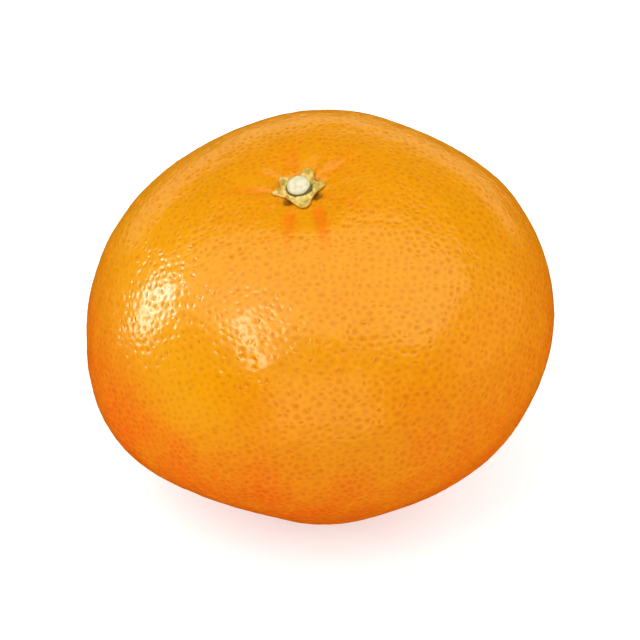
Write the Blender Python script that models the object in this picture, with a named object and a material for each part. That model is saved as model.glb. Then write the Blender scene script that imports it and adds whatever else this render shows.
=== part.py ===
"""A setoka mandarin as picked: a broad, low citrus fruit with the dried calyx and the cut stalk still on it.

The fruit is one solid. Its surface is worked out direction by direction from its middle: a flattened sphere with a
fuller shoulder and a tapered base, whose upper half leans to one side, with a few broad swellings, a shallow stem
recess, short furrows round the stem, a scar at the blossom end and a small flat spot to rest on. Its oil glands
show as shallow pits, larger than life so that the solid can carry them. Lengths are in metres and +Z is up.
"""

import math
import random

import bmesh
import bpy
from mathutils import Matrix, Vector

COLLECTION_NAME = "setoka_mandarin"

# Body of the fruit
RADIUS_X = 0.0420
RADIUS_Y = 0.0416
TOP_HEIGHT = 0.0325
BASE_DEPTH = 0.0335
MIDDLE_BAND = 0.70  # share of the height over which the top's curve passes into the base's
SHOULDER_FULLNESS = 0.024
BASE_TAPER = 0.040
LEAN = math.radians(6.4)  # the stem end leans towards -X

# Broad swellings and flats: azimuth, angle from the stem, reach (degrees) and height
SWELLINGS = (
    (204, 109, 22, 0.00165),
    (237, 131, 18, -0.00057),
    (269, 142, 16, 0.00114),
    (325, 126, 20, 0.00082),
    (55, 60, 25, -0.00068),
    (82, 46, 20, 0.00107),
    (28, 66, 15, 0.00034),
    (130, 118, 24, -0.00050),
    (85, 128, 20, 0.00060),
)

# Stem end, which stands a little beside the fruit's leaning axis
STEM_X = -0.00025
STEM_Y = -0.00080
RECESS_DEPTH = 0.0020
RECESS_RADIUS = 0.0090
FURROW_START = 0.0048
FURROW_FULL = 0.0068
# Furrows: azimuth (degrees), shift sideways, depth, half width and how far out they end. The two at the front run
# side by side.
FURROWS = (
    (267, -0.0012, 0.00042, 0.0011, 0.0140),
    (277, 0.0026, 0.00050, 0.0012, 0.0145),
    (222, 0.0, 0.00022, 0.0012, 0.0110),
    (178, 0.0, 0.00026, 0.0013, 0.0140),
    (141, 0.0, 0.00020, 0.0012, 0.0115),
    (104, 0.0, 0.00030, 0.0013, 0.0130),
    (68, 0.0, 0.00018, 0.0011, 0.0105),
    (36, 0.0, 0.00026, 0.0012, 0.0145),
    (4, 0.0, 0.00020, 0.0011, 0.0120),
    (328, 0.0, 0.00018, 0.0012, 0.0105),
)

# Blossom end and resting spot
REST_CUT = 0.0015
SCAR_RADIUS = 0.0022
SCAR_DEPTH = 0.0012

# Oil glands: the exponents crowd them towards the stem and the blossom end
GLAND_COUNT = 1850
GLAND_CROWDING_TOP = 1.45
GLAND_CROWDING_BASE = 1.20
GLAND_DEPTH_LEAST = 0.00010
GLAND_DEPTH_MOST = 0.00042
GLAND_SEED = 84
GOLDEN_ANGLE = math.pi * (3 - math.sqrt(5))

# Calyx
GAP = 0.0003  # clearance between one piece and the next
CALYX_HEIGHT = 0.0008
CALYX_HUB = 0.0031
CALYX_SIDES = 60
CALYX_ROUND = 8
CALYX_EDGE = 0.5  # how squarely the star's inner and outer edges are rounded
CALYX_THINNING = 0.25  # share of its height that the star loses towards its rim
# Lobes of the star: azimuth (degrees), reach past the hub and half width (degrees)
CALYX_LOBES = (
    (187, 0.0019, 16),
    (279, 0.0024, 23),
    (10, 0.0014, 19),
    (71, 0.0025, 20),
    (134, 0.0018, 20),
)

# Cut stalk
STALK_RADIUS = 0.0021
STALK_HEIGHT = 0.0014
STALK_SIDES = 30
STALK_ROUNDING = 0.0002
STALK_TILT = math.radians(17)  # the cut slopes down towards the front left
STALK_TILT_AZIMUTH = math.radians(250)

# Colours and roughness
PEEL_COLOUR = (0.90, 0.36, 0.02, 1)
PEEL_ROUGHNESS = 0.34
CALYX_COLOUR = (0.62, 0.58, 0.20, 1)
CALYX_ROUGHNESS = 0.6
STALK_COLOUR = (0.78, 0.74, 0.55, 1)
STALK_ROUGHNESS = 0.7


def smooth_step(value):
    value = min(max(value, 0.0), 1.0)
    return value * value * (3 - 2 * value)


def swelling_at(direction):
    """The height that the broad swellings add in this direction."""
    total = 0.0
    for azimuth, polar, reach, height in SWELLINGS:
        a, p = math.radians(azimuth), math.radians(polar)
        middle = Vector((math.sin(p) * math.cos(a), math.sin(p) * math.sin(a), math.cos(p)))
        total += height * math.exp(-((direction.angle(middle) / math.radians(reach)) ** 2))
    return total


def furrow_at(x, y):
    """The depth of the furrows at this place beside the stem."""
    distance = math.hypot(x, y)
    deepest = 0.0
    for azimuth, shift, depth, half_width, end in FURROWS:
        turn = math.atan2(y, x) - math.radians(azimuth)
        along = distance * math.cos(turn)
        across = distance * math.sin(turn) - shift
        if along <= 0:
            continue
        rise = smooth_step((along - FURROW_START) / (FURROW_FULL - FURROW_START))
        fall = 1 - smooth_step((along - FURROW_FULL) / (end - FURROW_FULL))
        deepest += depth * rise * fall * math.exp(-((across / half_width) ** 2))
    return deepest


def stem_hollow(x, y):
    """How far the recess and its furrows lie below the plain crown, at this place beside the fruit's axis."""
    x, y = x - STEM_X, y - STEM_Y
    return RECESS_DEPTH * math.exp(-((x * x + y * y) / RECESS_RADIUS**2)) + furrow_at(x, y)


def fruit_point(direction, sink=0.0):
    """The surface point in this direction from the fruit's middle, sunk by a pit's depth."""
    cosine = direction.z
    sine = math.sqrt(max(0.0, 1 - cosine * cosine))
    double = (2 * sine * cosine) ** 2
    base_share = smooth_step(0.5 - cosine / MIDDLE_BAND)
    height = TOP_HEIGHT + (BASE_DEPTH - TOP_HEIGHT) * base_share
    fullness = 1 + (SHOULDER_FULLNESS if cosine > 0 else -BASE_TAPER) * double
    point = Vector((
        RADIUS_X * fullness * direction.x,
        RADIUS_Y * fullness * direction.y,
        height * fullness * cosine,
    ))
    if cosine > 0:
        point.z -= stem_hollow(point.x, point.y)
    point += direction * (swelling_at(direction) - sink)
    polar = math.acos(min(max(cosine, -1.0), 1.0))
    lean = LEAN * smooth_step((math.pi - polar) / (math.pi / 2))
    point.rotate(Matrix.Rotation(-lean, 3, "Y"))
    if cosine < 0:
        point.z = max(point.z, REST_CUT - BASE_DEPTH)
        point.z += SCAR_DEPTH * math.exp(-((point.x**2 + point.y**2) / SCAR_RADIUS**2))
    return point


def gland_directions():
    """One direction for each gland, on a spiral from the stem to the blossom end."""
    for number in range(GLAND_COUNT):
        share = (number + 0.5) / GLAND_COUNT
        near = share**GLAND_CROWDING_TOP
        far = (1 - share) ** GLAND_CROWDING_BASE
        cosine = 1 - 2 * near / (near + far)
        sine = math.sqrt(1 - cosine * cosine)
        azimuth = number * GOLDEN_ANGLE
        yield Vector((sine * math.cos(azimuth), sine * math.sin(azimuth), cosine))


def gland_mesh():
    """A unit sphere with a vertex in the middle of each gland and a ring of shared vertices round it."""
    mesh = bmesh.new()
    glands = [mesh.verts.new(direction) for direction in gland_directions()]
    bmesh.ops.convex_hull(mesh, input=glands)
    between = list(mesh.edges)
    poked = bmesh.ops.poke(mesh, faces=mesh.faces)
    bmesh.ops.rotate_edges(mesh, edges=between)
    for vertex in poked["verts"]:
        vertex.co.normalize()
    bmesh.ops.recalc_face_normals(mesh, faces=mesh.faces)
    return mesh, set(glands)


def make_material(name, colour, roughness):
    material = bpy.data.materials.new(name)
    material.use_nodes = True
    shader = material.node_tree.nodes["Principled BSDF"]
    shader.inputs["Base Color"].default_value = colour
    shader.inputs["Roughness"].default_value = roughness
    shader.inputs["Metallic"].default_value = 0.0
    return material


def add_piece(name, mesh, material, collection, parent):
    """Turns a bmesh into a named, smooth object of the collection."""
    data = bpy.data.meshes.new(name)
    mesh.to_mesh(data)
    mesh.free()
    data.materials.append(material)
    data.shade_smooth()
    piece = bpy.data.objects.new(name, data)
    collection.objects.link(piece)
    piece.parent = parent
    return piece


def build_fruit(collection, parent):
    mesh, glands = gland_mesh()
    draw = random.Random(GLAND_SEED)
    for vertex in mesh.verts:
        sink = draw.uniform(GLAND_DEPTH_LEAST, GLAND_DEPTH_MOST) if vertex in glands else 0.0
        vertex.co = fruit_point(vertex.co.normalized(), sink)
    return add_piece("fruit", mesh, make_material("peel", PEEL_COLOUR, PEEL_ROUGHNESS), collection, parent)


def calyx_reach(azimuth):
    """How far the star reaches from its middle at this azimuth."""
    reach = CALYX_HUB
    for lobe, length, half_width in CALYX_LOBES:
        turn = (math.degrees(azimuth) - lobe + 180) % 360 - 180
        reach += length * math.exp(-((turn / half_width) ** 2))
    return reach


def crown_height(x, y):
    """The height of the peel at this place beside the stem, from the fruit's middle along its leaning axis."""
    x, y = STEM_X + x, STEM_Y + y
    off_axis = min(1.0, math.hypot(x / RADIUS_X, y / RADIUS_Y))
    return TOP_HEIGHT * math.sqrt(1 - off_axis**2) - stem_hollow(x, y)


def build_calyx(collection, parent):
    """A flattened ring drawn out into a star round the stalk, its underside one gap above the peel."""
    bpy.ops.mesh.primitive_torus_add(
        major_segments=CALYX_SIDES, minor_segments=CALYX_ROUND, major_radius=2, minor_radius=1
    )
    ring = bpy.context.object
    mesh = bmesh.new()
    mesh.from_mesh(ring.data)
    bpy.data.objects.remove(ring)
    inner = STALK_RADIUS + GAP
    seat = crown_height(0, 0)
    for vertex in mesh.verts:
        azimuth = math.atan2(vertex.co.y, vertex.co.x)
        level = vertex.co.z
        across = math.hypot(vertex.co.x, vertex.co.y) - 2
        share = (math.copysign(abs(across) ** CALYX_EDGE, across) + 1) / 2
        distance = inner + (calyx_reach(azimuth) - inner) * share
        x, y = distance * math.cos(azimuth), distance * math.sin(azimuth)
        thickness = CALYX_HEIGHT * (1 - CALYX_THINNING * share)
        z = crown_height(x, y) - seat + GAP + thickness * (level + 1) / 2
        vertex.co = Vector((x, y, z))
    material = make_material("calyx", CALYX_COLOUR, CALYX_ROUGHNESS)
    calyx = add_piece("calyx", mesh, material, collection, parent)
    calyx.location = Matrix.Rotation(-LEAN, 3, "Y") @ Vector((STEM_X, STEM_Y, seat))
    calyx.rotation_euler = (0, -LEAN, 0)
    return calyx


def build_stem_stub(collection, calyx):
    """A short round stalk whose cut face slopes, standing inside the calyx one gap above the peel."""
    mesh = bmesh.new()
    bmesh.ops.create_cone(
        mesh,
        cap_ends=True,
        segments=STALK_SIDES,
        radius1=STALK_RADIUS,
        radius2=STALK_RADIUS,
        depth=STALK_HEIGHT,
        matrix=Matrix.Translation((0, 0, STALK_HEIGHT / 2)),
    )
    downhill = Vector((math.cos(STALK_TILT_AZIMUTH), math.sin(STALK_TILT_AZIMUTH), 0))
    for vertex in mesh.verts:
        if vertex.co.z > STALK_HEIGHT / 2:
            vertex.co.z -= math.tan(STALK_TILT) * vertex.co.dot(downhill)
    rims = [edge for edge in mesh.edges if edge.calc_face_angle(0) > math.radians(45)]
    bmesh.ops.bevel(mesh, geom=rims, offset=STALK_ROUNDING, segments=2, profile=0.5, affect="EDGES")
    material = make_material("stalk", STALK_COLOUR, STALK_ROUGHNESS)
    stub = add_piece("stem_stub", mesh, material, collection, calyx)
    stub.location = (0, 0, GAP)
    return stub


def main():
    for thing in list(bpy.data.objects):
        bpy.data.objects.remove(thing)
    collection = bpy.data.collections.new(COLLECTION_NAME)
    bpy.context.scene.collection.children.link(collection)
    middle = bpy.data.objects.new("middle", None)
    collection.objects.link(middle)
    fruit = build_fruit(collection, middle)
    calyx = build_calyx(collection, middle)
    build_stem_stub(collection, calyx)
    corners = [Vector(corner) for corner in fruit.bound_box]
    low = Vector(min(corner[i] for corner in corners) for i in range(3))
    high = Vector(max(corner[i] for corner in corners) for i in range(3))
    middle.location = (-(low.x + high.x) / 2, -(low.y + high.y) / 2, -low.z)


main()
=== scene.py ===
"""Dresses a setoka mandarin in its pitted peel, dried calyx and cut stalk, in soft studio light.

The peel, the calyx and the stalk replace the plain solids and keep their form. Lengths are in metres,
and +Z is up.
"""

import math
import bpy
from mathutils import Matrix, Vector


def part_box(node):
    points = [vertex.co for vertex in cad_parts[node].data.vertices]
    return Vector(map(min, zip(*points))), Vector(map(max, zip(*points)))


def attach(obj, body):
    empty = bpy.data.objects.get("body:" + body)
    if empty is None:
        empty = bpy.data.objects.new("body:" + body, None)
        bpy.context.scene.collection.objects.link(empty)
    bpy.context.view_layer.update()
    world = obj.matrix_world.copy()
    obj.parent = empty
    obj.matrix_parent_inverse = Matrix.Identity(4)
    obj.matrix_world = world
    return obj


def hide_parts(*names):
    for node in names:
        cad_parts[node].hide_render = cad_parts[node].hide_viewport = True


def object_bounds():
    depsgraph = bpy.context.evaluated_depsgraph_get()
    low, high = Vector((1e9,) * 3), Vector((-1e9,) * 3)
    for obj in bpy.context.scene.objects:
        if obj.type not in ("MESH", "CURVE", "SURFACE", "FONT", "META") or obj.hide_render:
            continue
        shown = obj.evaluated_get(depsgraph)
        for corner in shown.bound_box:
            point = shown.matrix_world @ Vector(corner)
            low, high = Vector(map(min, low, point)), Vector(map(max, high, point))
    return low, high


bl_info = {
    "name": "Setoka mandarin",
    "version": (1, 0, 0),
    "blender": (4, 5, 0),
    "location": "View3D > Sidebar > Mandarin",
    "description": "Builds the pitted peel, the dried calyx and the cut stalk of a setoka mandarin",
    "category": "Object",
}

import bmesh
import bpy
import numpy as np
from bpy.props import FloatProperty, FloatVectorProperty, IntProperty, PointerProperty
from mathutils import Quaternion, Vector
from mathutils.geometry import delaunay_2d_cdt

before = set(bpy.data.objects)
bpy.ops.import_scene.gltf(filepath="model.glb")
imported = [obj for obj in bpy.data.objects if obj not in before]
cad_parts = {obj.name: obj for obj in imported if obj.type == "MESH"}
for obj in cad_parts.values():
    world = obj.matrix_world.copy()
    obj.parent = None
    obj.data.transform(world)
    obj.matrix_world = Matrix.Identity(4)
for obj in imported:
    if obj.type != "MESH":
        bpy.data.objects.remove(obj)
CAD_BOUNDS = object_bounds()
FRUIT_LOW, FRUIT_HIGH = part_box("fruit")
BODY = "root"

# Body of the fruit, the same form as the solid's. Its base is cut flat to rest on, round a small scar.
RADIUS_X = 0.0420
RADIUS_Y = 0.0416
TOP_HEIGHT = 0.0325
BASE_DEPTH = 0.0335
MIDDLE_BAND = 0.70
SHOULDER_FULLNESS = 0.024
BASE_TAPER = 0.040
LEAN = math.radians(6.4)
REST_CUT = 0.0015
SCAR_RADIUS = 0.0022
SCAR_DEPTH = 0.0012
# The stem stands this far beside the leaning axis, in a shallow recess
STEM_X = -0.00025
STEM_Y = -0.00080
RECESS_DEPTH = 0.0020
RECESS_RADIUS = 0.0090

# Broad swellings and flats: azimuth, angle from the stem, reach (degrees) and height
SWELLINGS = (
    (204, 109, 22, 0.00165),
    (237, 131, 18, -0.00057),
    (269, 142, 16, 0.00114),
    (325, 126, 20, 0.00082),
    (55, 60, 25, -0.00068),
    (82, 46, 20, 0.00107),
    (28, 66, 15, 0.00034),
    (130, 118, 24, -0.00050),
    (85, 128, 20, 0.00060),
)

# How far from the stem the furrows start and reach their full depth
FURROW_START = 0.0048
FURROW_FULL = 0.0068
# Furrows: azimuth (degrees), shift sideways, depth, half width and how far out they end
FURROWS = (
    (267, -0.0012, 0.00042, 0.0011, 0.0140),
    (277, 0.0026, 0.00050, 0.0012, 0.0145),
    (222, 0.0, 0.00022, 0.0012, 0.0110),
    (178, 0.0, 0.00026, 0.0013, 0.0140),
    (141, 0.0, 0.00020, 0.0012, 0.0115),
    (104, 0.0, 0.00030, 0.0013, 0.0130),
    (68, 0.0, 0.00018, 0.0011, 0.0105),
    (36, 0.0, 0.00026, 0.0012, 0.0145),
    (4, 0.0, 0.00020, 0.0011, 0.0120),
    (328, 0.0, 0.00018, 0.0012, 0.0105),
)

# Painted shade along the furrows: a furrow of this depth has it in full. The painted shade starts before
# the furrow and ends past it.
STAIN_DEPTH = 0.0005
STAIN_LEAD = 0.001
STAIN_TRAIL = 0.007

# Fine wrinkles between the furrows, drawn at random within these limits
WRINKLE_COUNT = 34
WRINKLE_START = 0.0030
WRINKLE_FULL = 0.0046
WRINKLE_DEPTH = (0.00004, 0.00013)
WRINKLE_HALF_WIDTH = (0.00025, 0.00050)
WRINKLE_END = (0.0070, 0.0140)

# Hollows in the peel under the notches of the calyx
NOTCH_DISTANCE = 0.0034
NOTCH_RADIUS = 0.0012
# A hollow this deep has the painted shadow under the calyx in full
NOTCH_DARK_DEPTH = 0.0005
# Notches: azimuth (degrees), depth
NOTCHES = ((234, 0.00060), (331, 0.00065), (39, 0.00050), (108, 0.00035), (162, 0.00035))

# The calyx: a collar round the stalk, and lobes past the hub with a middle rib and margins that curl up
CALYX_HUB = 0.0031
COLLAR_RADIUS = 0.0026
COLLAR_HALF_WIDTH = 0.00045
FULL_LOBE = 0.0016
RIB_HEIGHT = 0.00020
CURL_HEIGHT = 0.00026
VEIN_HEIGHT = 0.00004
CRUMPLE_HEIGHT = 0.00012
CRUMPLE_LENGTHS = (0.0005, 0.0015)
RAGGED_EDGE = 0.00005
UNDERSIDE = -0.00015
# Lobes of the calyx: azimuth (degrees), reach past the hub and half width (degrees)
CALYX_LOBES = (
    (187, 0.0019, 16),
    (279, 0.0024, 23),
    (10, 0.0014, 19),
    (71, 0.0025, 20),
    (134, 0.0018, 20),
)

# The cut face of the stalk: how far it is dished, and its rim (share of the radius, drop below the face)
DISH_DEPTH = 0.00006
STALK_RIM = ((0.90, 0.00003), (0.94, 0.00009), (0.96, 0.00020))
# The stalk's side widens down to this height, where a foot begins (share of the radius, height)
SIDE_WIDENING = 0.06
SIDE_END = 0.0004
STALK_FOOT = ((1.04, 0.00025), (1.04, 0.0))
STALK_LEAN = 0.00012
STALK_ROUGHNESS = 0.00002

# Broad patches of colour: azimuth, angle from the stem, reach (degrees) and strength.
# Above 0 they are yellower and below 0 redder. They are partly the peel's own uneven tone and partly
# painted light and shade: the yellower ones are painted light, the redder ones painted shade.
COLOUR_PATCHES = (
    (200, 44, 21, 0.85),
    (228, 62, 20, 0.50),
    (239, 73, 14, 0.50),
    (190, 82, 18, -1.20),
    (212, 90, 14, -0.40),
    (232, 100, 14, -0.50),
    (350, 80, 22, -0.25),
    (60, 70, 30, 0.60),
    (115, 95, 26, -0.60),
    (150, 60, 22, 0.50),
    (20, 105, 24, -0.40),
)

# Wavelengths of the peel's slow unevenness and of its short ripples
UNEVEN_LENGTHS = (0.007, 0.016)
RIPPLE_LENGTHS = (0.0018, 0.0045)

# Paints of the peel, beside those in its settings
YELLOW_PATCH = (0.80, 0.40, 0.0005)
RED_PATCH = (0.86, 0.12, 0.0004)
PALE_PATCH = (0.80, 0.33, 0.0005)
LIGHT_SPECK = (0.84, 0.36, 0.002)
DARK_SPECK = (0.66, 0.175, 0.001)
RIDGE_PAINT = (0.86, 0.36, 0.001)
YELLOW_STREAK = (0.74, 0.33, 0.002)
RED_STREAK = (0.80, 0.19, 0.002)
FURROW_PAINT = (0.80, 0.175, 0.002)
NOTCH_PAINT = (0.20, 0.08, 0.01)
SCAR_PAINT = (0.16, 0.08, 0.02)

# Paints of the calyx
OLIVE_PATCH = (0.52, 0.44, 0.10)
SUNKEN_PAINT = (0.38, 0.27, 0.055)
RAISED_PAINT = (0.90, 0.72, 0.34)
PALE_SPECK = (0.88, 0.78, 0.45)
HUB_SHADE = (0.035, 0.035, 0.012)

# Paints of the stalk
DARK_WOOD = (0.62, 0.55, 0.33)
RIM_WOOD = (0.46, 0.47, 0.22)
LIGHT_BARK = (0.28, 0.25, 0.12)

GOLDEN_ANGLE = math.pi * (3 - math.sqrt(5))
MEASURING_POINTS = 40000
SEED = 84


class PeelSettings(bpy.types.PropertyGroup):
    glands: IntProperty(
        name="Oil glands", description="Pits on the whole peel", default=10600, min=500, max=11000
    )
    crowding_top: FloatProperty(
        name="Crowding at the stem", description="Above 1, the pits crowd towards the stem", default=1.12
    )
    crowding_base: FloatProperty(
        name="Crowding at the base", description="Above 1, the pits crowd towards the blossom end",
        default=1.08,
    )
    wander: FloatProperty(
        name="Wander", description="How far a pit strays from even spacing, in spacings", default=0.22
    )
    deep_share: FloatProperty(
        name="Share of large pits", description="Part of the pits that are large and deep", default=0.60,
        subtype="FACTOR",
    )
    deep: FloatProperty(
        name="Depth of a large pit", description="Mean depth of the large pits", default=0.00016,
        precision=5, subtype="DISTANCE", unit="LENGTH",
    )
    shallow: FloatProperty(
        name="Depth of a small pit", description="Mean depth of the small pits", default=0.00006,
        precision=5, subtype="DISTANCE", unit="LENGTH",
    )
    pit_rim: FloatProperty(
        name="Rim of a pit", description="Where a pit turns steep, as a share of the way to its neighbours",
        default=0.40, subtype="FACTOR",
    )
    rim_depth: FloatProperty(
        name="Depth at the rim", description="Share of a pit's depth that its rim has", default=0.42,
        subtype="FACTOR",
    )
    unevenness: FloatProperty(
        name="Unevenness", description="Height of the slow waves in the peel", default=0.00008,
        precision=5, subtype="DISTANCE", unit="LENGTH",
    )
    ripple: FloatProperty(
        name="Ripple", description="Height of the short waves in the peel", default=0.000038,
        precision=5, subtype="DISTANCE", unit="LENGTH",
    )
    # Yellower at the crown and redder at the base: partly the peel's own tone, partly painted light from
    # above and painted shade low down
    crown_colour: FloatVectorProperty(
        name="Crown", description="Peel near the stem", default=(0.70, 0.285, 0.0010), size=3,
        subtype="COLOR",
    )
    side_colour: FloatVectorProperty(
        name="Side", description="Peel round the middle", default=(0.76, 0.238, 0.0005), size=3,
        subtype="COLOR",
    )
    base_colour: FloatVectorProperty(
        name="Base", description="Peel towards the blossom end", default=(0.82, 0.115, 0.0004), size=3,
        subtype="COLOR",
    )
    # Painted shade in the middle of a pit
    gland_colour: FloatVectorProperty(
        name="Gland", description="Peel in the middle of a pit", default=(0.62, 0.185, 0.0005), size=3,
        subtype="COLOR",
    )


class CalyxSettings(bpy.types.PropertyGroup):
    thickness: FloatProperty(
        name="Thickness", description="Thickness at the hub", default=0.0008, precision=5,
        subtype="DISTANCE", unit="LENGTH",
    )
    flesh_colour: FloatVectorProperty(
        name="Lobes", description="Dried lobes", default=(0.80, 0.54, 0.16), size=3, subtype="COLOR"
    )
    green_colour: FloatVectorProperty(
        name="Green", description="Greener patches", default=(0.46, 0.38, 0.07), size=3, subtype="COLOR"
    )
    brown_colour: FloatVectorProperty(
        name="Brown", description="Dry edges", default=(0.66, 0.34, 0.04), size=3, subtype="COLOR"
    )


class StalkSettings(bpy.types.PropertyGroup):
    radius: FloatProperty(
        name="Radius", description="Radius of the stalk", default=0.0021, precision=5,
        subtype="DISTANCE", unit="LENGTH",
    )
    height: FloatProperty(
        name="Height", description="Mean height of the cut face above the peel", default=0.0015,
        precision=5, subtype="DISTANCE", unit="LENGTH",
    )
    slope: FloatProperty(
        name="Slope of the cut", description="Angle of the cut face", default=math.radians(17),
        subtype="ANGLE",
    )
    slope_azimuth: FloatProperty(
        name="Downhill side", description="Where the cut is lowest", default=math.radians(250),
        subtype="ANGLE",
    )
    wood_colour: FloatVectorProperty(
        name="Cut wood", description="Cut face", default=(0.74, 0.70, 0.56), size=3, subtype="COLOR"
    )
    # The stalk's side: bark colour, darkened further with painted shade under the cut face
    bark_colour: FloatVectorProperty(
        name="Bark", description="Side of the stalk", default=(0.15, 0.14, 0.06), size=3, subtype="COLOR"
    )


class StageSettings(bpy.types.PropertyGroup):
    floor_size: FloatProperty(
        name="Floor", description="Length of the floor's side", default=3.2,
        subtype="DISTANCE", unit="LENGTH",
    )
    floor_colour: FloatVectorProperty(
        name="Floor colour", description="Pale floor", default=(0.72, 0.72, 0.72), size=3, subtype="COLOR"
    )
    floor_glow: FloatProperty(
        name="Floor glow", description="How strongly the floor shines by itself", default=0.45
    )
    camera_height: FloatProperty(
        name="Camera elevation", description="Angle that the camera looks down at",
        default=math.radians(40.1), subtype="ANGLE",
    )
    camera_distance: FloatProperty(
        name="Camera distance", description="From the camera to the fruit's middle", default=0.80,
        subtype="DISTANCE", unit="LENGTH",
    )
    fill: FloatProperty(
        name="Fill", description="Share of the picture's width that the fruit takes", default=0.73,
        subtype="FACTOR",
    )


def smooth_step(value):
    value = np.clip(value, 0.0, 1.0)
    return value * value * (3 - 2 * value)


def direction_to(azimuth, polar):
    """The unit vector at this azimuth and angle from the stem, both in degrees."""
    turn, tilt = math.radians(azimuth), math.radians(polar)
    return np.array((math.sin(tilt) * math.cos(turn), math.sin(tilt) * math.sin(turn), math.cos(tilt)))


def groove_depth(x, y, azimuth, shift, depth, half_width, start, full, end):
    """A groove that runs outwards, a shift beside the stem's middle.

    Going outwards, it deepens from start to full and fades away at end.
    """
    turn = math.radians(azimuth)
    along = x * math.cos(turn) + y * math.sin(turn)
    across = y * math.cos(turn) - x * math.sin(turn) - shift
    rise = smooth_step((along - start) / (full - start))
    fall = 1 - smooth_step((along - full) / (end - full))
    return np.where(along > 0, depth * rise * fall * np.exp(-((across / half_width) ** 2)), 0.0)


def furrow_depth(x, y):
    total = np.zeros_like(x)
    for azimuth, shift, depth, half_width, end in FURROWS:
        total += groove_depth(x, y, azimuth, shift, depth, half_width, FURROW_START, FURROW_FULL, end)
    return total


def furrow_stain(x, y):
    """How strongly painted shade darkens the furrows: the deepest most, and wider than they are deep."""
    total = np.zeros_like(x)
    for azimuth, shift, depth, half_width, end in FURROWS:
        strength = (depth / STAIN_DEPTH) ** 1.5
        start, end = FURROW_START - STAIN_LEAD, end + STAIN_TRAIL
        total += groove_depth(x, y, azimuth, shift, strength, half_width, start, FURROW_FULL, end)
    return total


def wrinkle_depth(x, y):
    draw = np.random.default_rng(SEED + 1)
    total = np.zeros_like(x)
    for _ in range(WRINKLE_COUNT):
        azimuth = draw.uniform(0, 360)
        depth = draw.uniform(*WRINKLE_DEPTH)
        half_width = draw.uniform(*WRINKLE_HALF_WIDTH)
        end = draw.uniform(*WRINKLE_END)
        total += groove_depth(x, y, azimuth, 0.0, depth, half_width, WRINKLE_START, WRINKLE_FULL, end)
    return total


def notch_depth(x, y):
    total = np.zeros_like(x)
    for azimuth, depth in NOTCHES:
        notch_x = NOTCH_DISTANCE * math.cos(math.radians(azimuth))
        notch_y = NOTCH_DISTANCE * math.sin(math.radians(azimuth))
        total += depth * np.exp(-(((x - notch_x) ** 2 + (y - notch_y) ** 2) / NOTCH_RADIUS**2))
    return total


def streak_shade(x, y):
    """Which way the colour turns in streaks that run out from the stem: 0 is redder, 1 yellower."""
    azimuth, distance = np.arctan2(y, x), np.hypot(x, y)
    waves = np.sin(5 * azimuth + 0.8) + 0.8 * np.sin(9 * azimuth + 2.3)
    waves += 0.7 * np.sin(14 * azimuth + 0.5) + 0.5 * np.sin(23 * azimuth + 4.0)
    # The ridge between the two front furrows is the yellowest
    front = np.degrees(azimuth) + 82
    waves = waves * (1 - np.exp(-((front / 34) ** 2))) + 2.5 * np.exp(-((front / 8) ** 2))
    fade = smooth_step((distance - 0.0035) / 0.002) * (1 - smooth_step((distance - 0.008) / 0.010))
    return 0.5 + 0.5 * fade * np.clip(waves / 2, -1, 1)


def patch_strength(directions, patches):
    """The sum of soft round patches: azimuth, angle from the stem, reach (degrees) and strength of each."""
    total = np.zeros(len(directions))
    for azimuth, polar, reach, strength in patches:
        apart = np.degrees(np.arccos(np.clip(directions @ direction_to(azimuth, polar), -1, 1)))
        total += strength * np.exp(-((apart / reach) ** 2))
    return total


def stem_hollow(x, y):
    """How far the recess and its furrows lie below the plain crown, at this place beside the stem."""
    return RECESS_DEPTH * np.exp(-((x * x + y * y) / RECESS_RADIUS**2)) + furrow_depth(x, y)


def crown_height(x, y):
    """The height of the peel beside the stem, from the fruit's middle along its leaning axis."""
    off_axis = np.clip(np.hypot((STEM_X + x) / RADIUS_X, (STEM_Y + y) / RADIUS_Y), 0, 1)
    return TOP_HEIGHT * np.sqrt(1 - off_axis**2) - stem_hollow(x, y)


def lean_over(points, lean):
    """Turns points about the Y axis, each by its own angle, so that their top goes towards -X."""
    cosine, sine = np.cos(lean), np.sin(lean)
    x = cosine * points[:, 0] - sine * points[:, 2]
    z = sine * points[:, 0] + cosine * points[:, 2]
    return np.column_stack((x, points[:, 1], z))


def fruit_surface(directions, sink, detail):
    """Surface points in these directions from the fruit's middle, each sunk by its own depth.

    With detail, the wrinkles and the hollows under the calyx are there too.
    """
    cosine = directions[:, 2]
    sine = np.sqrt(np.clip(1 - cosine**2, 0, None))
    double = (2 * sine * cosine) ** 2
    height = TOP_HEIGHT + (BASE_DEPTH - TOP_HEIGHT) * smooth_step(0.5 - cosine / MIDDLE_BAND)
    fullness = 1 + np.where(cosine > 0, SHOULDER_FULLNESS, -BASE_TAPER) * double
    points = directions * np.column_stack(
        (np.full_like(cosine, RADIUS_X), np.full_like(cosine, RADIUS_Y), height)
    )
    points *= fullness[:, None]
    x, y = points[:, 0] - STEM_X, points[:, 1] - STEM_Y
    hollow = stem_hollow(x, y)
    if detail:
        hollow += wrinkle_depth(x, y) + notch_depth(x, y)
    points[:, 2] -= np.where(cosine > 0, hollow, 0)
    points += directions * (patch_strength(directions, SWELLINGS) - sink)[:, None]
    polar = np.arccos(np.clip(cosine, -1, 1))
    points = lean_over(points, LEAN * smooth_step((math.pi - polar) / (math.pi / 2)))
    below = cosine < 0
    points[:, 2] = np.where(below, np.maximum(points[:, 2], REST_CUT - BASE_DEPTH), points[:, 2])
    scar = SCAR_DEPTH * np.exp(-((points[:, 0] ** 2 + points[:, 1] ** 2) / SCAR_RADIUS**2))
    points[:, 2] += np.where(below, scar, 0)
    return points


def spiral_directions(cosine):
    """Directions with these cosines from the stem, each a golden angle further round it than the last."""
    sine = np.sqrt(1 - cosine**2)
    azimuth = np.arange(len(cosine)) * GOLDEN_ANGLE
    return np.column_stack((sine * np.cos(azimuth), sine * np.sin(azimuth), cosine))


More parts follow.
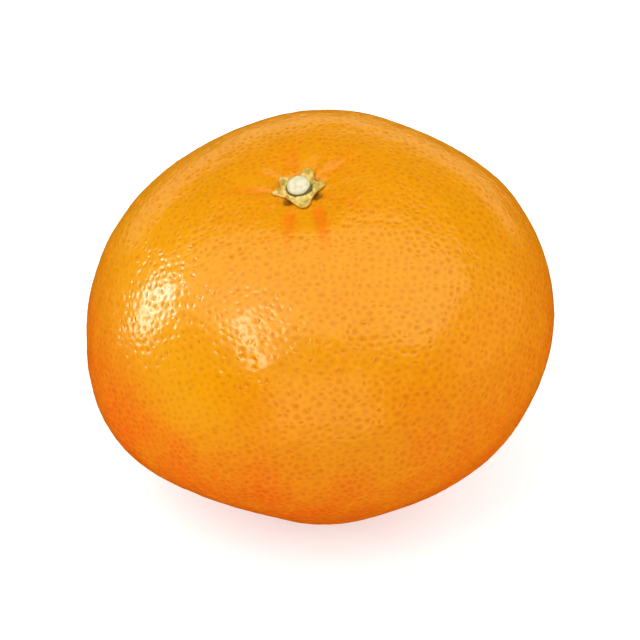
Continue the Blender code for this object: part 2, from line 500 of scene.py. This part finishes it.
def find_middle():
    """Where the fruit's middle lies in the frame, from the box of the solid and that of the plain form."""
    cosine = 1 - 2 * (np.arange(MEASURING_POINTS) + 0.5) / MEASURING_POINTS
    points = fruit_surface(spiral_directions(cosine), np.zeros(MEASURING_POINTS), False)
    low, high = points.min(axis=0), points.max(axis=0)
    return Vector((
        (FRUIT_LOW.x + FRUIT_HIGH.x) / 2 - (low[0] + high[0]) / 2,
        (FRUIT_LOW.y + FRUIT_HIGH.y) / 2 - (low[1] + high[1]) / 2,
        FRUIT_LOW.z - low[2],
    ))


MIDDLE = find_middle()


def slow_waves(directions, waves, lengths, seed):
    """A smooth random height, mostly from -1 to 1, made of plane waves between two wavelengths."""
    draw = np.random.default_rng(seed)
    total = np.zeros(len(directions))
    for _ in range(waves):
        heading = draw.normal(size=3)
        heading /= np.linalg.norm(heading)
        length = draw.uniform(*lengths)
        phase = draw.uniform(0, 2 * math.pi)
        total += np.sin(directions @ heading * RADIUS_X * 2 * math.pi / length + phase)
    return total / math.sqrt(waves / 2) / 2


def gland_directions(peel, draw):
    """One direction for each gland, apart from any that falls on the blossom end itself."""
    share = (np.arange(peel.glands) + 0.5) / peel.glands
    near = share**peel.crowding_top
    far = (1 - share) ** peel.crowding_base
    directions = spiral_directions(1 - 2 * near / (near + far))
    spacing = math.sqrt(4 * math.pi / peel.glands)
    directions += draw.normal(size=directions.shape) * spacing * peel.wander
    directions /= np.linalg.norm(directions, axis=1)[:, None]
    return directions[directions[:, 2] > -math.cos(spacing / 2)]


def gland_mesh(directions, depths, marks):
    """A unit sphere whose faces fan round each gland: the gland, a ring round it, and corners it shares.

    Three layers keep each gland's depth, how strongly its pit is darkened with painted shade, and a level
    that is 1 at the gland. All fall to half on the gland's ring and to nothing at its corners.
    """
    # Laid out flat, as seen from the blossom end through the fruit, the glands are joined into triangles
    flat = [Vector((x / (1 + z), y / (1 + z))) for x, y, z in directions]
    _, _, faces, origins, _, _ = delaunay_2d_cdt(flat, [], [], 0, 1e-9)
    mesh = bmesh.new()
    layers = mesh.verts.layers.float
    depth_layer, mark_layer, level_layer = layers.new("depth"), layers.new("gland"), layers.new("level")
    glands = [mesh.verts.new(direction) for direction in directions]
    for face in faces:
        mesh.faces.new([glands[origins[corner][0]] for corner in face])
    rim = [edge for edge in mesh.edges if edge.is_boundary]
    blossom_end = mesh.verts.new((0, 0, -1))
    for edge in rim:
        mesh.faces.new((*edge.verts, blossom_end))
    for gland, depth, mark in zip(glands, depths, marks):
        gland[depth_layer], gland[mark_layer], gland[level_layer] = depth, mark, 1
    bmesh.ops.recalc_face_normals(mesh, faces=mesh.faces)
    # Every triangle gets a corner in its middle, and each edge between glands turns to join two corners
    between = list(mesh.edges)
    corners = bmesh.ops.poke(mesh, faces=mesh.faces)["verts"]
    for corner in corners:
        corner[depth_layer] = corner[mark_layer] = corner[level_layer] = 0
    bmesh.ops.rotate_edges(mesh, edges=between)
    # The spokes from the glands to their corners are halved, which makes the rings
    spokes = {edge: None for gland in (*glands, blossom_end) for edge in gland.link_edges}
    bmesh.ops.subdivide_edges(mesh, edges=list(spokes), cuts=1)
    bmesh.ops.triangulate(mesh, faces=[face for face in mesh.faces if len(face.verts) > 4])
    return mesh


def settle_order(mesh):
    """Sorts edges and faces by their vertices, because Blender's sphere and spin shuffle them each run."""
    mesh.verts.index_update()
    for elements in (mesh.edges, mesh.faces):
        ordered = sorted(elements, key=lambda element: sorted(vertex.index for vertex in element.verts))
        for place, element in enumerate(ordered):
            element.index = place
        elements.sort()


def finish_mesh(name, mesh, points, **kept):
    """The data of a mesh whose vertices go to these points, with the values that its material reads."""
    data = bpy.data.meshes.new(name)
    mesh.to_mesh(data)
    mesh.free()
    data.vertices.foreach_set("co", points.astype(np.float32).ravel())
    for kind, values in kept.items():
        layer = data.attributes.new(kind, "FLOAT", "POINT")
        layer.data.foreach_set("value", values.astype(np.float32))
    data.update()
    return data


def build_peel_mesh(peel):
    """The peel with its pits, and what its material reads at each point of it."""
    draw = np.random.default_rng(SEED)
    glands = gland_directions(peel, draw)
    large = draw.random(len(glands)) < peel.deep_share
    depths = np.where(large, peel.deep, peel.shallow) * draw.uniform(0.6, 1.4, len(glands))
    from_stem = np.hypot(glands[:, 0] * RADIUS_X - STEM_X, glands[:, 1] * RADIUS_Y - STEM_Y)
    shallower = 0.35 + 0.65 * smooth_step((from_stem - 0.005) / 0.009)
    depths *= np.where(glands[:, 2] > 0, shallower, 1)
    # How strongly each pit is darkened with painted shade
    marks = np.where(large, 1.0, 0.75) * draw.uniform(0.5, 1.0, len(glands))
    mesh = gland_mesh(glands, depths, marks)
    depth_layer, level_layer = mesh.verts.layers.float["depth"], mesh.verts.layers.float["level"]
    sink = np.array([vertex[depth_layer] for vertex in mesh.verts])
    level = np.array([vertex[level_layer] for vertex in mesh.verts])
    directions = np.array([vertex.co for vertex in mesh.verts])
    at_gland = level > 0.9
    on_ring = (level > 0.4) & (level < 0.6)
    # Each ring draws in towards its gland, which gives the pit its steep rim
    mesh.verts.index_update()
    for edge in mesh.edges:
        outer, inner = sorted((vertex.index for vertex in edge.verts), key=lambda index: level[index])
        if at_gland[inner] and on_ring[outer]:
            directions[outer] += (directions[inner] - directions[outer]) * (1 - 2 * peel.pit_rim)
    directions /= np.linalg.norm(directions, axis=1)[:, None]
    sink *= np.where(at_gland, 1.0, 2 * peel.rim_depth)
    sink -= peel.unevenness * slow_waves(directions, 30, UNEVEN_LENGTHS, SEED + 2)
    sink -= peel.ripple * slow_waves(directions, 70, RIPPLE_LENGTHS, SEED + 3)
    points = fruit_surface(directions, sink, True)
    stem_side = directions[:, 2] > 0
    x, y = directions[:, 0] * RADIUS_X - STEM_X, directions[:, 1] * RADIUS_Y - STEM_Y
    scar = np.exp(-((points[:, 0] ** 2 + points[:, 1] ** 2) / SCAR_RADIUS**2))
    return finish_mesh(
        "peel",
        mesh,
        points + np.array(MIDDLE),
        furrow=np.where(stem_side, furrow_stain(x, y), 0),
        notch=np.where(stem_side, notch_depth(x, y) / NOTCH_DARK_DEPTH, 0),
        streak=np.where(stem_side, streak_shade(x, y), 0.5),
        scar=np.where(stem_side, 0, scar),
        drift=patch_strength(directions, COLOUR_PATCHES),
    )


def feed(tree, socket, value):
    """Gives a socket another node's output, or a value. A colour's value is three numbers."""
    if isinstance(value, bpy.types.NodeSocket):
        tree.links.new(value, socket)
    elif socket.type == "RGBA":
        socket.default_value = (*value, 1)
    else:
        socket.default_value = value


def add_node(tree, kind, inputs=None, **settings):
    """A node with its settings and its inputs, by name."""
    node = tree.nodes.new(kind)
    for name, value in settings.items():
        setattr(node, name, value)
    for name, value in (inputs or {}).items():
        feed(tree, node.inputs[name], value)
    return node


def mix_colours(tree, factor, first, second):
    """The output of a colour mix."""
    node = tree.nodes.new("ShaderNodeMix")
    node.data_type = "RGBA"
    # A mix node has sockets for every kind of value. These are the factor, the two colours and the result.
    feed(tree, node.inputs[0], factor)
    feed(tree, node.inputs[6], first)
    feed(tree, node.inputs[7], second)
    return node.outputs[2]


def ramp(tree, value, low, high, out_low=0.0, out_high=1.0):
    """The output of a smooth map of a value from one range to another."""
    inputs = {"Value": value, "From Min": low, "From Max": high, "To Min": out_low, "To Max": out_high}
    return add_node(tree, "ShaderNodeMapRange", inputs, interpolation_type="SMOOTHSTEP").outputs["Result"]


def tint(tree, colour, value, low, high, strength, paint):
    """A colour turned towards a paint, by up to the strength, as the value goes from low to high."""
    return mix_colours(tree, ramp(tree, value, low, high, 0, strength), colour, paint)


def calculate(tree, operation, first, second):
    """The output of a sum or a product, each of a value or an output."""
    node = add_node(tree, "ShaderNodeMath", operation=operation)
    feed(tree, node.inputs[0], first)
    feed(tree, node.inputs[1], second)
    return node.outputs[0]


def noise(tree, place, scale, detail=3.0, roughness=0.5):
    """The output of a noise with this many cells to a metre."""
    inputs = {"Vector": place, "Scale": scale, "Detail": detail, "Roughness": roughness}
    return add_node(tree, "ShaderNodeTexNoise", inputs).outputs["Fac"]


def attribute(tree, name):
    """The output that reads one of the values that finish_mesh keeps."""
    return add_node(tree, "ShaderNodeAttribute", attribute_name=name).outputs["Fac"]


def new_material(name):
    """A material, its node tree, its shader and the place on the object."""
    material = bpy.data.materials.new(name)
    material.use_nodes = True
    tree = material.node_tree
    place = add_node(tree, "ShaderNodeTexCoord").outputs["Object"]
    return material, tree, tree.nodes["Principled BSDF"], place


def peel_material(peel):
    material, tree, shader, place = new_material("citrus_peel")
    links = tree.links
    height = add_node(tree, "ShaderNodeSeparateXYZ", {"Vector": place}).outputs["Z"]
    patch = noise(tree, place, 38.0, 4.0)
    level = calculate(tree, "ADD", height, ramp(tree, patch, 0.3, 0.7, -0.006, 0.006))
    # Painted light and shade with the peel's own tone: yellower towards the stem, redder towards the
    # blossom end
    crown = ramp(tree, level, 0.036, 0.064)
    base = ramp(tree, level, 0.043, 0.017)
    colour = mix_colours(tree, crown, tuple(peel.side_colour), tuple(peel.crown_colour))
    colour = mix_colours(tree, base, colour, tuple(peel.base_colour))
    # Broad patches of painted light (yellower) and painted shade (redder), partly the peel's own tone
    drift = attribute(tree, "drift")
    colour = tint(tree, colour, drift, 0.0, 1.0, 0.6, YELLOW_PATCH)
    colour = tint(tree, colour, drift, 0.0, -1.0, 0.6, RED_PATCH)
    # Small patches and specks, a little lighter or darker
    colour = tint(tree, colour, noise(tree, place, 160.0), 0.45, 0.7, 0.25, PALE_PATCH)
    mottle = noise(tree, place, 900.0, 3.0, 0.6)
    colour = tint(tree, colour, mottle, 0.48, 0.72, 0.35, LIGHT_SPECK)
    colour = tint(tree, colour, mottle, 0.48, 0.28, 0.35, DARK_SPECK)
    # Painted light makes the peel paler along the ridges between the pits, and painted shade makes it
    # darker in the pits
    gland = attribute(tree, "gland")
    colour = tint(tree, colour, gland, 0.32, 0.0, 0.3, RIDGE_PAINT)
    colour = tint(tree, colour, gland, 0.20, 0.85, 0.6, tuple(peel.gland_colour))
    streak = attribute(tree, "streak")
    colour = tint(tree, colour, streak, 0.5, 1.0, 0.5, YELLOW_STREAK)
    colour = tint(tree, colour, streak, 0.5, 0.0, 0.3, RED_STREAK)
    # Painted shade in the furrows
    colour = tint(tree, colour, attribute(tree, "furrow"), 0.05, 0.85, 0.6, FURROW_PAINT)
    # Painted shadow in the hollows under the calyx's notches
    colour = tint(tree, colour, attribute(tree, "notch"), 0.35, 0.9, 0.8, NOTCH_PAINT)
    colour = tint(tree, colour, attribute(tree, "scar"), 0.5, 0.85, 1.0, SCAR_PAINT)
    links.new(colour, shader.inputs["Base Color"])
    rough = ramp(tree, noise(tree, place, 900.0, 2.0), 0.3, 0.7, 0.34, 0.46)
    links.new(rough, shader.inputs["Roughness"])
    shader.inputs["Specular IOR Level"].default_value = 0.05
    shader.inputs["Coat Weight"].default_value = 0.32
    shader.inputs["Coat Roughness"].default_value = 0.18
    shader.inputs["Coat IOR"].default_value = 2.4
    shader.inputs["Subsurface Weight"].default_value = 0.12
    shader.inputs["Subsurface Radius"].default_value = (0.0035, 0.0012, 0.0004)
    shader.inputs["Subsurface Scale"].default_value = 1.0
    # Fine grain of the cuticle between the pits
    cells = add_node(tree, "ShaderNodeTexVoronoi", {"Vector": place, "Scale": 1500.0}).outputs["Distance"]
    grain = calculate(tree, "ADD", cells, noise(tree, place, 3200.0, 2.0))
    grain = calculate(tree, "ADD", grain, noise(tree, place, 1000.0, 2.0))
    bump = add_node(tree, "ShaderNodeBump", {"Strength": 0.25, "Distance": 0.00006, "Height": grain})
    links.new(bump.outputs["Normal"], shader.inputs["Normal"])
    return material


def calyx_reach(azimuth):
    """How far the star reaches from its middle at each azimuth, with slightly ragged edges."""
    degrees = np.degrees(azimuth)
    reach = np.full_like(azimuth, CALYX_HUB)
    for lobe, length, half_width in CALYX_LOBES:
        turn = (degrees - lobe + 180) % 360 - 180
        reach += length * np.exp(-((turn / half_width) ** 2))
    ragged = np.sin(azimuth * 9 + 1.0) + 0.7 * np.sin(azimuth * 17 + 2.1)
    ragged += 0.5 * np.sin(azimuth * 31 + 0.4)
    return reach + RAGGED_EDGE * ragged


def to_frame(points):
    """Turns points measured from the stem, upwards from the fruit's middle, into the frame."""
    return lean_over(points + (STEM_X, STEM_Y, 0), np.full(len(points), LEAN)) + np.array(MIDDLE)


def build_calyx_mesh(calyx):
    """A sphere pressed flat and drawn out into the star, which follows the peel below it."""
    mesh = bmesh.new()
    bmesh.ops.create_uvsphere(mesh, u_segments=200, v_segments=36, radius=1)
    settle_order(mesh)
    level = np.array([vertex.co.z for vertex in mesh.verts])
    azimuth = np.array([math.atan2(vertex.co.y, vertex.co.x) for vertex in mesh.verts])
    spread = np.sqrt(np.clip(1 - level**2, 0, 1)) ** 0.6
    reach = calyx_reach(azimuth)
    x, y = reach * spread * np.cos(azimuth), reach * spread * np.sin(azimuth)
    distance = reach * spread
    lobe = np.clip((reach - CALYX_HUB) / FULL_LOBE, 0, 1)
    collar = np.exp(-(((distance - COLLAR_RADIUS) / COLLAR_HALF_WIDTH) ** 2))
    places = np.column_stack((x, y, level * 0.001)) / RADIUS_X
    crumple = slow_waves(places, 40, CRUMPLE_LENGTHS, SEED + 4)
    thickness = calyx.thickness * (0.30 + 0.70 * collar)
    rib = RIB_HEIGHT * lobe * (1 - spread**4) * smooth_step((distance - COLLAR_RADIUS) / 0.001)
    curl = CURL_HEIGHT * smooth_step((spread - 0.74) / 0.26) * (0.3 + lobe)
    veins = VEIN_HEIGHT * np.sin(azimuth * 37 + 3 * np.sin(azimuth * 5))
    veins *= smooth_step((distance - 0.0022) / 0.001)
    top = thickness + rib + curl + veins + CRUMPLE_HEIGHT * crumple
    bottom = UNDERSIDE + curl * 0.6
    share = (level + 1) / 2
    z = crown_height(x, y) + bottom + (top - bottom) * share
    return finish_mesh(
        "calyx_star",
        mesh,
        to_frame(np.column_stack((x, y, z))),
        edge=smooth_step((spread - 0.8) / 0.2),
        # How far each place is raised, for the calyx's painted light and shade
        relief=0.6 * collar + 0.5 * rib / RIB_HEIGHT + 0.7 * crumple,
        hub=1 - smooth_step((distance - 0.0020) / 0.0004),
    )


def calyx_material(calyx):
    material, tree, shader, place = new_material("dried_calyx")
    links = tree.links
    flesh, green, brown = tuple(calyx.flesh_colour), tuple(calyx.green_colour), tuple(calyx.brown_colour)
    colour = tint(tree, flesh, noise(tree, place, 620.0, 4.0), 0.44, 0.66, 0.85, green)
    colour = tint(tree, colour, noise(tree, place, 260.0, 2.0), 0.42, 0.60, 0.4, OLIVE_PATCH)
    # Painted shade in the calyx's hollows and painted light on its collar, ribs and crumples
    relief = attribute(tree, "relief")
    colour = tint(tree, colour, relief, 0.5, -0.3, 0.85, SUNKEN_PAINT)
    colour = tint(tree, colour, relief, 0.5, 1.2, 0.6, RAISED_PAINT)
    # The margins are brown in places
    places = ramp(tree, noise(tree, place, 900.0), 0.35, 0.6)
    edge = calculate(tree, "MULTIPLY", attribute(tree, "edge"), places)
    colour = mix_colours(tree, calculate(tree, "MULTIPLY", edge, 0.4), colour, brown)
    colour = tint(tree, colour, noise(tree, place, 2600.0, 2.0), 0.62, 0.74, 0.6, PALE_SPECK)
    # It is dark in the gap round the stalk
    hub = calculate(tree, "MULTIPLY", attribute(tree, "hub"), 0.9)
    colour = mix_colours(tree, hub, colour, HUB_SHADE)
    links.new(colour, shader.inputs["Base Color"])
    shader.inputs["Roughness"].default_value = 0.62
    shader.inputs["Specular IOR Level"].default_value = 0.3
    grain = noise(tree, place, 2400.0, 5.0, 0.6)
    bump = add_node(tree, "ShaderNodeBump", {"Strength": 0.6, "Distance": 0.0001, "Height": grain})
    links.new(bump.outputs["Normal"], shader.inputs["Normal"])
    return material


def build_stalk_mesh(stalk):
    """A turned profile, from the middle of the cut face over the rim and down to the calyx."""
    radius, height = stalk.radius, stalk.height
    profile = [(share, height - DISH_DEPTH * (1 - share) ** 2) for share in np.linspace(0, 0.84, 12)]
    profile += [(share, height - drop) for share, drop in STALK_RIM]
    rim_share, rim_drop = STALK_RIM[-1]
    for down in (0.25, 0.5, 0.75, 1):
        drop = rim_drop + (height - rim_drop - SIDE_END) * down
        profile.append((rim_share + SIDE_WIDENING * down, height - drop))
    profile += [*STALK_FOOT, (0.0, 0.0)]
    mesh = bmesh.new()
    line = [mesh.verts.new((radius * share, 0, z)) for share, z in profile]
    edges = [mesh.edges.new(pair) for pair in zip(line, line[1:])]
    bmesh.ops.spin(
        mesh, geom=line + edges, cent=(0, 0, 0), axis=(0, 0, 1), angle=2 * math.pi, steps=96,
        use_duplicate=False,
    )
    bmesh.ops.remove_doubles(mesh, verts=mesh.verts, dist=1e-7)
    settle_order(mesh)
    bmesh.ops.recalc_face_normals(mesh, faces=mesh.faces)
    points = np.array([vertex.co for vertex in mesh.verts])
    azimuth = np.arctan2(points[:, 1], points[:, 0])
    distance = np.hypot(points[:, 0], points[:, 1])
    lift = np.clip(points[:, 2] / height, 0, 1)
    downhill = points[:, 0] * math.cos(stalk.slope_azimuth) + points[:, 1] * math.sin(stalk.slope_azimuth)
    # It isn't quite round, leans a little and has a slightly rough cut face
    out_of_round = 1 + 0.025 * np.cos(2 * azimuth + 0.6) + 0.012 * np.cos(5 * azimuth)
    out_of_round += 0.006 * np.cos(23 * azimuth)
    face = smooth_step((lift - 0.8) / 0.2)
    rough = STALK_ROUGHNESS * np.sin(azimuth * 21) * np.sin(distance * 9000) * face
    rough *= smooth_step(distance / 0.001)
    points[:, 0] = points[:, 0] * out_of_round - STALK_LEAN * lift
    points[:, 1] *= out_of_round
    points[:, 2] += rough - math.tan(stalk.slope) * downhill * lift
    points[:, 2] += crown_height(np.zeros(1), np.zeros(1))[0]
    return finish_mesh("stalk_end", mesh, to_frame(points), face=face, distance=distance / radius)


def stalk_material(stalk):
    material, tree, shader, place = new_material("cut_stalk")
    links = tree.links
    grain = noise(tree, place, 1500.0, 4.0)
    wood = tint(tree, tuple(stalk.wood_colour), grain, 0.35, 0.7, 1.0, DARK_WOOD)
    wood = tint(tree, wood, attribute(tree, "distance"), 0.72, 0.86, 0.6, RIM_WOOD)
    # The side is bark, made darker with painted shade
    bark = mix_colours(tree, noise(tree, place, 1200.0, 4.0), tuple(stalk.bark_colour), LIGHT_BARK)
    colour = mix_colours(tree, ramp(tree, attribute(tree, "face"), 0.2, 0.8), bark, wood)
    links.new(colour, shader.inputs["Base Color"])
    shader.inputs["Roughness"].default_value = 0.7
    shader.inputs["Specular IOR Level"].default_value = 0.3
    grain = noise(tree, place, 3200.0, 5.0, 0.65)
    bump = add_node(tree, "ShaderNodeBump", {"Strength": 0.5, "Distance": 0.00008, "Height": grain})
    links.new(bump.outputs["Normal"], shader.inputs["Normal"])
    return material


def add_piece(name, data, material):
    """An object of this mesh with its material, smooth and in the scene."""
    data.materials.append(material)
    data.shade_smooth()
    piece = bpy.data.objects.new(name, data)
    bpy.context.scene.collection.objects.link(piece)
    return piece


class MANDARIN_OT_peel(bpy.types.Operator):
    """Add the peel, with a pit for every oil gland"""

    bl_idname = "mandarin.add_peel"
    bl_label = "Add peel"

    def execute(self, context):
        settings = context.scene.mandarin_peel
        peel = add_piece("peel", build_peel_mesh(settings), peel_material(settings))
        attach(peel, BODY)
        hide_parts("fruit")
        return {"FINISHED"}


class MANDARIN_OT_calyx(bpy.types.Operator):
    """Add the dried star under the stalk"""

    bl_idname = "mandarin.add_calyx"
    bl_label = "Add calyx"

    def execute(self, context):
        settings = context.scene.mandarin_calyx
        star = add_piece("calyx_star", build_calyx_mesh(settings), calyx_material(settings))
        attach(star, BODY)
        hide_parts("calyx")
        return {"FINISHED"}


class MANDARIN_OT_stalk(bpy.types.Operator):
    """Add the cut end of the stalk"""

    bl_idname = "mandarin.add_stalk"
    bl_label = "Add stalk"

    def execute(self, context):
        settings = context.scene.mandarin_stalk
        stalk = add_piece("stalk_end", build_stalk_mesh(settings), stalk_material(settings))
        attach(stalk, BODY)
        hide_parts("stem_stub")
        return {"FINISHED"}


def floor_material(stage):
    material, tree, shader, place = new_material("pale_floor")
    shade = tuple(value * 0.985 for value in stage.floor_colour)
    colour = mix_colours(tree, noise(tree, place, 6.0), tuple(stage.floor_colour), shade)
    tree.links.new(colour, shader.inputs["Base Color"])
    shader.inputs["Roughness"].default_value = 0.75
    shader.inputs["Specular IOR Level"].default_value = 0.2
    # The floor glows a little, as a light table does, which softens the shadow
    shader.inputs["Emission Color"].default_value = (0.80, 0.94, 1.0, 1)
    shader.inputs["Emission Strength"].default_value = stage.floor_glow
    return material


# Each light has azimuth, elevation and roll (degrees) and distance, then width and height, then watts.
# The gloss alone shows the highlight boxes, each in its own colour.
HIGHLIGHT_BOXES = (
    ("window_left", (167.5, 17, 24, 1.1), (0.26, 0.66), 3.8, (1.0, 0.96, 0.94)),
    ("window_core", (165, 23, 24, 1.1), (0.11, 0.19), 0.52, (0.52, 0.68, 1.0)),
    ("strip_front_left", (-140, 46, 50, 1.1), (0.14, 0.68), 1.95, (1.0, 0.92, 0.74)),
    ("ceiling_glow", (0, 87, -10, 1.2), (1.6, 3.5), 15.0, (0.92, 0.92, 0.80)),
    ("glow_front", (-91, 13, 0, 1.1), (0.95, 0.80), 1.75, (1.0, 0.90, 0.60)),
    ("glow_right", (2, 8, 0, 1.2), (1.2, 0.6), 0.7, (1.0, 0.90, 0.60)),
    ("rim_behind", (90, 2, 0, 1.2), (2.4, 0.4), 3.0, (1.0, 0.86, 0.60)),
)
# The fill boxes light the fruit and aren't seen in the gloss
FILL_BOXES = (
    ("key_front_left", (-150, 52, 0, 2.4), (2.0, 2.0), 27.0),
    ("fill_above", (0, 90, 0, 2.4), (5.0, 5.0), 60.0),
    ("fill_front", (-80, 24, 0, 2.4), (4.0, 2.0), 15.0),
    ("fill_right", (0, 30, 0, 2.4), (3.0, 2.4), 28.0),
    ("fill_left", (180, 24, 0, 2.4), (3.0, 2.0), 9.0),
    ("fill_back", (90, 30, 0, 2.4), (3.0, 2.0), 10.0),
)
FILL_COLOUR = (1.0, 0.985, 0.95)


def add_softbox(name, place, size, power, target):
    """A rectangular light that looks at the target."""
    azimuth, elevation, roll, distance = place
    light = bpy.data.lights.new(name, "AREA")
    light.shape = "RECTANGLE"
    light.size, light.size_y = size
    light.energy = power
    lamp = bpy.data.objects.new(name, light)
    bpy.context.scene.collection.objects.link(lamp)
    away = Vector(direction_to(azimuth, 90 - elevation))
    lamp.location = target + away * distance
    turn = Quaternion((0, 0, 1), math.radians(roll))
    lamp.rotation_euler = ((-away).to_track_quat("-Z", "Y") @ turn).to_euler()
    return lamp


class MANDARIN_OT_stage(bpy.types.Operator):
    """Add the floor, the lights and the camera"""

    bl_idname = "mandarin.add_stage"
    bl_label = "Add stage"

    def execute(self, context):
        stage = context.scene.mandarin_stage
        mesh = bmesh.new()
        bmesh.ops.create_grid(mesh, x_segments=8, y_segments=8, size=stage.floor_size / 2)
        data = bpy.data.meshes.new("floor")
        mesh.to_mesh(data)
        mesh.free()
        floor = add_piece("floor", data, floor_material(stage))
        floor.location.z = CAD_BOUNDS[0][2]
        floor.visible_glossy = False
        target = Vector((0, 0, (FRUIT_LOW.z + FRUIT_HIGH.z) / 2))
        for name, place, size, power, colour in HIGHLIGHT_BOXES:
            box = add_softbox(name, place, size, power, target)
            box.visible_diffuse = False
            box.data.color = colour
        for name, place, size, power in FILL_BOXES:
            box = add_softbox(name, place, size, power, target)
            box.visible_glossy = False
            box.data.color = FILL_COLOUR
        world = bpy.data.worlds.new("studio")
        world.use_nodes = True
        sky = world.node_tree.nodes["Background"]
        sky.inputs["Color"].default_value = (0.97, 0.97, 0.97, 1)
        sky.inputs["Strength"].default_value = 1.0
        # The pale background is only seen. It lights nothing, so the shade stays the lights' own.
        world.cycles_visibility.diffuse = False
        world.cycles_visibility.glossy = False
        context.scene.world = world
        context.scene.view_settings.view_transform = "Standard"
        context.scene.view_settings.look = "Medium High Contrast"
        lens = bpy.data.cameras.new("camera")
        camera = bpy.data.objects.new("camera", lens)
        context.scene.collection.objects.link(camera)
        away = Vector((0, -math.cos(stage.camera_height), math.sin(stage.camera_height)))
        camera.location = target + away * stage.camera_distance
        camera.rotation_euler = (-away).to_track_quat("-Z", "Y").to_euler()
        width = (FRUIT_HIGH.x - FRUIT_LOW.x) / stage.fill
        lens.lens = lens.sensor_width * stage.camera_distance / width
        lens.clip_start = 0.01
        context.scene.camera = camera
        return {"FINISHED"}


class MANDARIN_PT_panel(bpy.types.Panel):
    """Lists the pieces of the mandarin"""

    bl_idname = "MANDARIN_PT_panel"
    bl_label = "Setoka mandarin"
    bl_space_type = "VIEW_3D"
    bl_region_type = "UI"
    bl_category = "Mandarin"

    def draw(self, context):
        for operator in OPERATORS:
            self.layout.operator(operator.bl_idname)


SETTINGS = {
    "mandarin_peel": PeelSettings,
    "mandarin_calyx": CalyxSettings,
    "mandarin_stalk": StalkSettings,
    "mandarin_stage": StageSettings,
}
OPERATORS = (MANDARIN_OT_peel, MANDARIN_OT_calyx, MANDARIN_OT_stalk, MANDARIN_OT_stage)


def register():
    for name, group in SETTINGS.items():
        bpy.utils.register_class(group)
        setattr(bpy.types.Scene, name, PointerProperty(type=group))
    for operator in OPERATORS:
        bpy.utils.register_class(operator)
    bpy.utils.register_class(MANDARIN_PT_panel)


def unregister():
    bpy.utils.unregister_class(MANDARIN_PT_panel)
    for operator in reversed(OPERATORS):
        bpy.utils.unregister_class(operator)
    for name, group in SETTINGS.items():
        delattr(bpy.types.Scene, name)
        bpy.utils.unregister_class(group)


def main():
    register()
    bpy.ops.mandarin.add_peel()
    bpy.ops.mandarin.add_calyx()
    bpy.ops.mandarin.add_stalk()
    bpy.ops.mandarin.add_stage()


if __name__ == "__main__":
    main()
